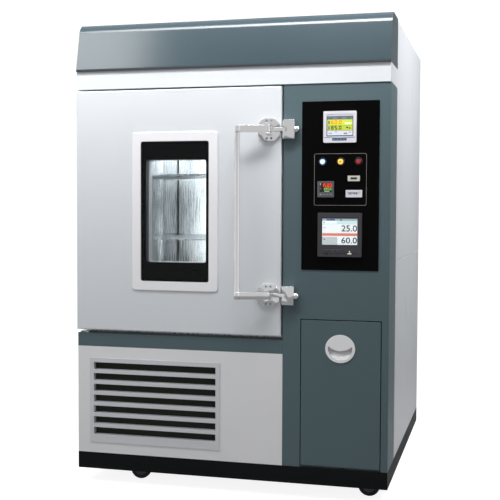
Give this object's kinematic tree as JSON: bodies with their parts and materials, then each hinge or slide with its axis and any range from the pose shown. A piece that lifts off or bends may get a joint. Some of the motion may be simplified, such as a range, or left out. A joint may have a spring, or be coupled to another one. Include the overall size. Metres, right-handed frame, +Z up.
{
  "type": "environmental test chamber",
  "caption": "Floor-standing temperature and humidity test chamber with a windowed insulated door, pull-bar latches, an instrument column and swivel casters.",
  "frame": {"origin": "on the floor, in the middle of the footprint of the whole chamber, casters, door and handle included", "axes": "+Z up, front faces -Y, +X to the right of someone who faces the chamber"},
  "size_m": [1.103, 1.195, 1.623],
  "materials": {
    "frame_steel": "satin grey primer",
    "black_paint": "satin black powder coat",
    "light_paint": "satin silver-white enamel",
    "slate_paint": "satin slate blue-grey enamel",
    "black_panel": "gloss black",
    "instrument_white": "fine satin",
    "instrument_dark": "fine satin",
    "instrument_grey": "fine satin",
    "key_rubber": "matt",
    "stainless": "fine brushed",
    "foam": "open foam skin",
    "coil_metal": "mill finish",
    "machine_grey": "satin",
    "machine_black": "semi gloss",
    "copper": "drawn tube",
    "tank_plastic": "translucent moulding",
    "chrome_plate": "bright plated",
    "lamp_glass": "opal",
    "white_trim": "smooth gloss",
    "window_glass": "clear heated glass with a black border",
    "seal_rubber": "matt soft seal",
    "fork_zinc": "bright zinc",
    "wheel_tyre": "black solid tyre",
    "blue_lens": "lit lens",
    "amber_lens": "lit lens",
    "red_lens": "lens"
  },
  "bodies": {
    "cabinet": {"base_frame": "frame_steel", "base_skirt": "black_paint", "left_side_panel": "light_paint", "right_side_panel": "light_paint", "rear_panel": "light_paint", "top_panel": "light_paint", "top_cap": "slate_paint", "header_band": "light_paint", "front_fascia": "slate_paint", "lower_front_panel": "light_paint", "louvre_grille": "light_paint", "control_panel": "black_panel", "controller": "instrument_white", "recorder": "instrument_dark", "limit_controller": "instrument_grey", "serial_port": "frame_steel", "hour_meter": "instrument_white", "inner_liner": "stainless", "insulation": "foam", "shelf_rails": "stainless", "shelves": "stainless", "air_baffle": "stainless", "evaporator": "coil_metal", "heater": "stainless", "humidifier": "stainless", "circulation_motor": "machine_grey", "compressor": "machine_black", "condenser": "coil_metal", "refrigerant_pipes": "copper", "water_tank": "tank_plastic", "electrical_box": "machine_grey", "latch_strikes": "chrome_plate", "port_sleeve": "stainless", "hinge_brackets": "chrome_plate", "interior_lamp": "lamp_glass"},
    "door": {"door_shell": "light_paint", "door_liner": "stainless", "window_frame": "white_trim", "window_glass": "window_glass", "door_gasket": "seal_rubber", "latch_cases": "chrome_plate"},
    "handle": {"door_handle": "chrome_plate"},
    "bolts": {"latch_bolts": "chrome_plate"},
    "service_flap": {"service_door": "slate_paint", "service_pull": "white_trim"},
    "air_fan": {"circulation_fan": "coil_metal"},
    "cooling_fan": {"condenser_fan": "machine_black"},
    "power_push": {"power_button": "blue_lens"},
    "run_push": {"run_button": "amber_lens"},
    "alarm_push": {"alarm_button": "red_lens"},
    "limit_keys": {"limit_key_mat": "key_rubber"},
    "cable_cap": {"port_cap": "key_rubber"},
    "front_left_caster": {"front_left_fork": "fork_zinc"},
    "front_left_roller": {"front_left_wheel": "wheel_tyre"},
    "front_right_caster": {"front_right_fork": "fork_zinc"},
    "front_right_roller": {"front_right_wheel": "wheel_tyre"},
    "rear_left_caster": {"rear_left_fork": "fork_zinc"},
    "rear_left_roller": {"rear_left_wheel": "wheel_tyre"},
    "rear_right_caster": {"rear_right_fork": "fork_zinc"},
    "rear_right_roller": {"rear_right_wheel": "wheel_tyre"}
  },
  "joints": [
    {"name": "door_hinge", "type": "hinge", "parent": "cabinet", "child": "door", "pos_m": [-0.5335, -0.4805, 0.965], "axis": [0, 0, -1], "range_deg": [0, 110]},
    {"name": "handle_pull", "type": "hinge", "parent": "door", "child": "handle", "pos_m": [0.1515, -0.5625, 0.965], "axis": [0, 0, 1], "range_deg": [0, 35], "stiffness_Nm_per_rad": 3, "springref_deg": -5.73},
    {"name": "bolt_slide", "type": "slide", "parent": "door", "child": "bolts", "axis": [-1, 0, 0], "range_m": [0, 0.015]},
    {"name": "service_door_tilt", "type": "hinge", "parent": "cabinet", "child": "service_flap", "pos_m": [0.3925, -0.5085, 0.119], "axis": [1, 0, 0], "range_deg": [0, 90]},
    {"name": "air_fan_spin", "type": "hinge", "parent": "cabinet", "child": "air_fan", "pos_m": [-0.1785, 0.4435, 1.09], "axis": [0, 1, 0], "continuous": true},
    {"name": "cooling_fan_spin", "type": "hinge", "parent": "cabinet", "child": "cooling_fan", "pos_m": [-0.263, -0.3845, 0.293], "axis": [0, 1, 0], "continuous": true},
    {"name": "power_press", "type": "slide", "parent": "cabinet", "child": "power_push", "axis": [0, 1, 0], "range_m": [0, 0.003], "stiffness_N_per_m": 500, "springref_m": -0.001},
    {"name": "run_press", "type": "slide", "parent": "cabinet", "child": "run_push", "axis": [0, 1, 0], "range_m": [0, 0.003], "stiffness_N_per_m": 500, "springref_m": -0.001},
    {"name": "alarm_press", "type": "slide", "parent": "cabinet", "child": "alarm_push", "axis": [0, 1, 0], "range_m": [0, 0.003], "stiffness_N_per_m": 500, "springref_m": -0.001},
    {"name": "limit_key_press", "type": "slide", "parent": "cabinet", "child": "limit_keys", "axis": [0, 1, 0], "range_m": [0, 0.0006], "stiffness_N_per_m": 1200, "springref_m": -0.0003},
    {"name": "cable_cap_pull", "type": "slide", "parent": "cabinet", "child": "cable_cap", "axis": [1, 0, 0], "range_m": [0, 0.03]},
    {"name": "front_left_swivel", "type": "hinge", "parent": "cabinet", "child": "front_left_caster", "pos_m": [-0.3735, -0.4215, 0.097], "axis": [0, 0, 1], "continuous": true},
    {"name": "front_left_roll", "type": "hinge", "parent": "front_left_caster", "child": "front_left_roller", "pos_m": [-0.3455, -0.4215, 0.0375], "axis": [0, 1, 0], "continuous": true},
    {"name": "front_right_swivel", "type": "hinge", "parent": "cabinet", "child": "front_right_caster", "pos_m": [0.4515, -0.4215, 0.097], "axis": [0, 0, 1], "continuous": true},
    {"name": "front_right_roll", "type": "hinge", "parent": "front_right_caster", "child": "front_right_roller", "pos_m": [0.4795, -0.4215, 0.0375], "axis": [0, 1, 0], "continuous": true},
    {"name": "rear_left_swivel", "type": "hinge", "parent": "cabinet", "child": "rear_left_caster", "pos_m": [-0.4485, 0.5025, 0.097], "axis": [0, 0, 1], "continuous": true},
    {"name": "rear_left_roll", "type": "hinge", "parent": "rear_left_caster", "child": "rear_left_roller", "pos_m": [-0.4485, 0.5305, 0.0375], "axis": [1, 0, 0], "continuous": true},
    {"name": "rear_right_swivel", "type": "hinge", "parent": "cabinet", "child": "rear_right_caster", "pos_m": [0.4515, 0.5025, 0.097], "axis": [0, 0, 1], "continuous": true},
    {"name": "rear_right_roll", "type": "hinge", "parent": "rear_right_caster", "child": "rear_right_roller", "pos_m": [0.4515, 0.5305, 0.0375], "axis": [1, 0, 0], "continuous": true}
  ],
  "couplings": [
    {"joint": "bolt_slide", "follows": "handle_pull", "m_per_rad": 0.0245}
  ]
}
